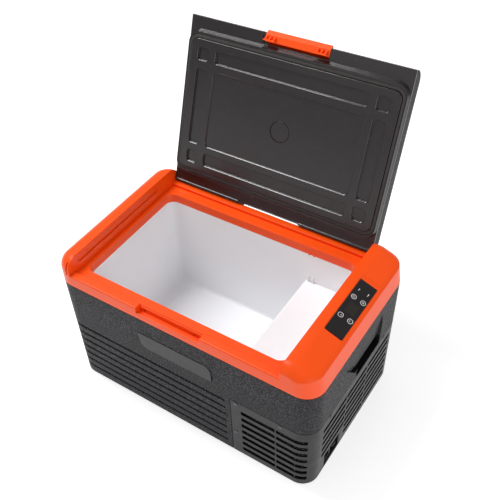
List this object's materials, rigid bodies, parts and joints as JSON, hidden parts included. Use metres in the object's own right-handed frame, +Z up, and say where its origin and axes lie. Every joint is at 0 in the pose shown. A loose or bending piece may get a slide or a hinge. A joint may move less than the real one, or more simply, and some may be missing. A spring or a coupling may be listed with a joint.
{
  "type": "compressor cooler fridge",
  "caption": "Portable compressor cool box with a hinged insulated lid, latch, sloping control panel, louvred cooling unit and a stepped tub.",
  "frame": {"origin": "centre of the base on the ground, between the four feet", "axes": "+X towards the control panel end, +Y towards the hinge side, +Z up; the lid is stored open at its stop"},
  "size_m": [0.584, 0.4842, 0.651],
  "materials": {
    "shell": "coarse spark-eroded grain, satin",
    "shell_handle": "fine grain, satin",
    "cover": "fine grain, satin",
    "screw": "blackened steel",
    "pan": "powder coated",
    "foot": "matt",
    "badge": "satin",
    "collar": "satin moulded",
    "liner": "satin moulded",
    "foam": "rigid foam",
    "copper": "drawn copper tube",
    "sheet": "galvanised sheet",
    "compressor": "black stoved enamel",
    "fins": "mill finish",
    "fan": "moulded",
    "board": "circuit laminate",
    "socket": "moulded",
    "pins": "plated steel",
    "panel": "gloss overlay",
    "window": "smoked",
    "key": "gloss",
    "lining": "smooth satin",
    "gasket": "soft seal"
  },
  "bodies": {
    "cabinet": {"outer_shell": "shell", "machine_bay_cover": "cover", "cover_screws": "screw", "base_pan": "pan", "rubber_feet": "foot", "badge_plate": "badge", "handle_cup_right": "shell_handle", "handle_cup_left": "shell_handle", "top_collar": "collar", "inner_liner": "liner", "foam_insulation": "foam", "evaporator_coil": "copper", "thermostat_probe": "copper", "bay_partition": "sheet", "compressor": "compressor", "compressor_grommets": "foot", "compressor_bolts": "screw", "condenser": "fins", "condenser_bracket": "sheet", "fan_frame": "fan", "fan_screws": "screw", "filter_drier": "copper", "condenser_outlet_tube": "copper", "liquid_tube": "copper", "suction_tube": "copper", "discharge_tube": "copper", "drive_board": "board", "dc_inlet_socket": "socket", "dc_inlet_pins": "pins", "fuse_carrier": "socket", "socket_housing": "socket", "control_panel": "panel", "display_window": "window", "display_board": "board", "key_domes": "pins", "hinge_pins": "pins"},
    "lid": {"lid_outer_shell": "shell", "lid_inner_panel": "lining", "lid_fill_plug": "lining", "lid_gasket": "gasket", "lid_foam": "foam", "latch_pin": "pins"},
    "latch": {"latch_handle": "collar", "latch_spring": "pins"},
    "fan": {"fan_rotor": "fan"},
    "power_button": {"key_power": "key"},
    "mode_button": {"key_mode": "key"},
    "up_button": {"key_up": "key"},
    "down_button": {"key_down": "key"}
  },
  "joints": [
    {"name": "lid_hinge", "type": "hinge", "parent": "cabinet", "child": "lid", "pos_m": [0, 0.172, 0.3114], "axis": [1, 0, 0], "range_deg": [0, 108]},
    {"name": "latch_pivot", "type": "hinge", "parent": "lid", "child": "latch", "pos_m": [0, 0.29169, 0.61634], "axis": [-1, 0, 0], "range_deg": [0, 35], "stiffness_Nm_per_rad": 0.12, "springref_deg": -20.05},
    {"name": "fan_spin", "type": "hinge", "parent": "cabinet", "child": "fan", "pos_m": [0.201, -0.112, 0.082], "axis": [0, 1, 0], "continuous": true},
    {"name": "power_press", "type": "slide", "parent": "cabinet", "child": "power_button", "axis": [-0.3582, 0, -0.9337], "range_m": [0, 0.0005], "stiffness_N_per_m": 400, "springref_m": -0.0003},
    {"name": "mode_press", "type": "slide", "parent": "cabinet", "child": "mode_button", "axis": [-0.3582, 0, -0.9337], "range_m": [0, 0.0005], "stiffness_N_per_m": 400, "springref_m": -0.0003},
    {"name": "up_press", "type": "slide", "parent": "cabinet", "child": "up_button", "axis": [-0.3582, 0, -0.9337], "range_m": [0, 0.0005], "stiffness_N_per_m": 400, "springref_m": -0.0003},
    {"name": "down_press", "type": "slide", "parent": "cabinet", "child": "down_button", "axis": [-0.3582, 0, -0.9337], "range_m": [0, 0.0005], "stiffness_N_per_m": 400, "springref_m": -0.0003}
  ]
}
